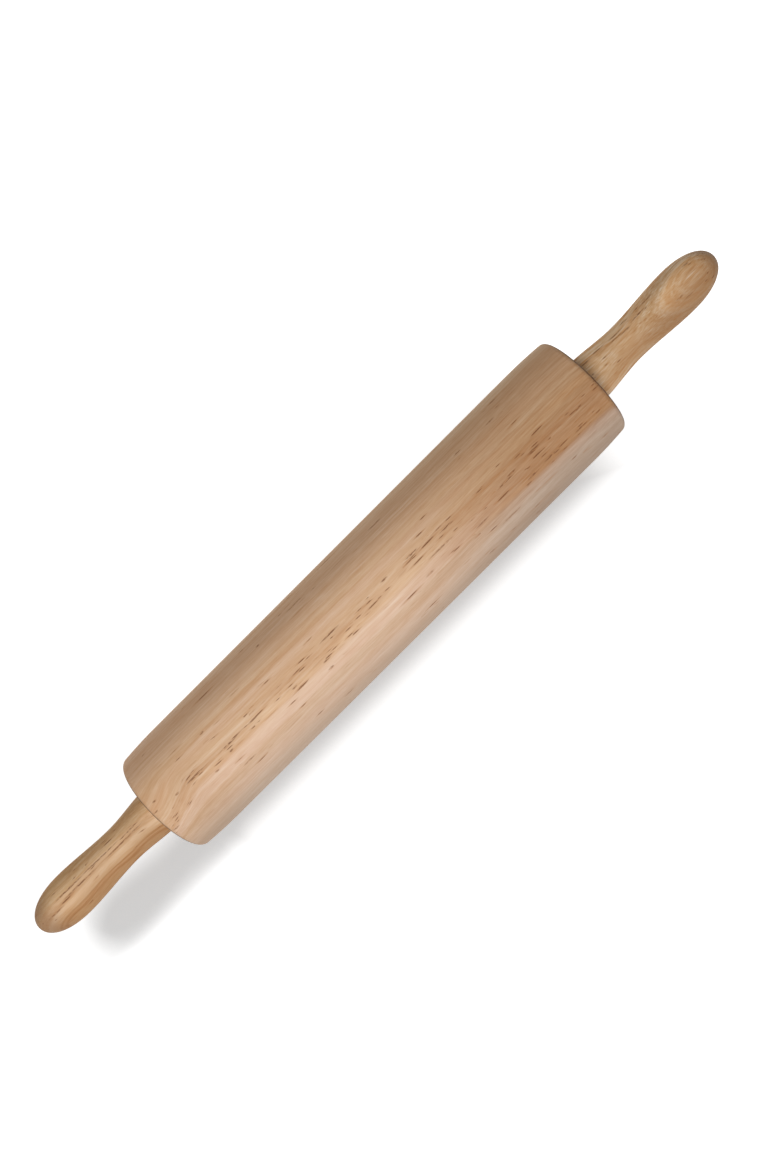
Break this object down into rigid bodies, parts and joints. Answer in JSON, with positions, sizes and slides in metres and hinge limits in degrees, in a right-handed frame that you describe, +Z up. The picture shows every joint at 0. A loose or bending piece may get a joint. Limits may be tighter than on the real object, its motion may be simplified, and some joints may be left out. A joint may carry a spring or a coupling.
{
  "type": "rolling pin",
  "caption": "Revolving wooden rolling pin: a straight round barrel that turns on a steel rod in ball bearings, with a turned handle at each end.",
  "frame": {"origin": "on the worktop, under the middle of the barrel", "axes": "+X along the pin, +Z up; the pin looks the same from both ends"},
  "size_m": [0.4, 0.051, 0.051],
  "materials": {
    "barrel_wood": "fine-sanded rubberwood, bare or lightly oiled",
    "handle_wood": "fine-sanded rubberwood, bare or lightly oiled",
    "bright_steel": "ground and polished",
    "turned_brass": "turned",
    "natural_nylon": "moulded, satin"
  },
  "bodies": {
    "barrel": {"barrel": "barrel_wood", "bearing_outer_ring_left": "bright_steel", "shield_out_left": "bright_steel", "shield_in_left": "bright_steel", "bearing_outer_ring_right": "bright_steel", "shield_out_right": "bright_steel", "shield_in_right": "bright_steel"},
    "spindle": {"centre_rod": "bright_steel", "handle_left": "handle_wood", "bearing_inner_ring_left": "bright_steel", "spacer_left": "natural_nylon", "handle_insert_left": "turned_brass", "handle_right": "handle_wood", "bearing_inner_ring_right": "bright_steel", "spacer_right": "natural_nylon", "handle_insert_right": "turned_brass"},
    "ball_set_left": {"ball_cage_left": "natural_nylon", "ball_left_1": "bright_steel", "ball_left_2": "bright_steel", "ball_left_3": "bright_steel", "ball_left_4": "bright_steel", "ball_left_5": "bright_steel", "ball_left_6": "bright_steel", "ball_left_7": "bright_steel"},
    "ball_set_right": {"ball_cage_right": "natural_nylon", "ball_right_1": "bright_steel", "ball_right_2": "bright_steel", "ball_right_3": "bright_steel", "ball_right_4": "bright_steel", "ball_right_5": "bright_steel", "ball_right_6": "bright_steel", "ball_right_7": "bright_steel"}
  },
  "joints": [
    {"name": "spindle_spin", "type": "hinge", "parent": "barrel", "child": "spindle", "pos_m": [0, 0, 0.0255], "axis": [1, 0, 0], "continuous": true},
    {"name": "ball_set_left_spin", "type": "hinge", "parent": "barrel", "child": "ball_set_left", "pos_m": [0, 0, 0.0255], "axis": [1, 0, 0], "continuous": true},
    {"name": "ball_set_right_spin", "type": "hinge", "parent": "barrel", "child": "ball_set_right", "pos_m": [0, 0, 0.0255], "axis": [1, 0, 0], "continuous": true}
  ],
  "couplings": [
    {"joint": "ball_set_left_spin", "follows": "spindle_spin", "ratio": 0.3971},
    {"joint": "ball_set_right_spin", "follows": "spindle_spin", "ratio": 0.3971}
  ]
}
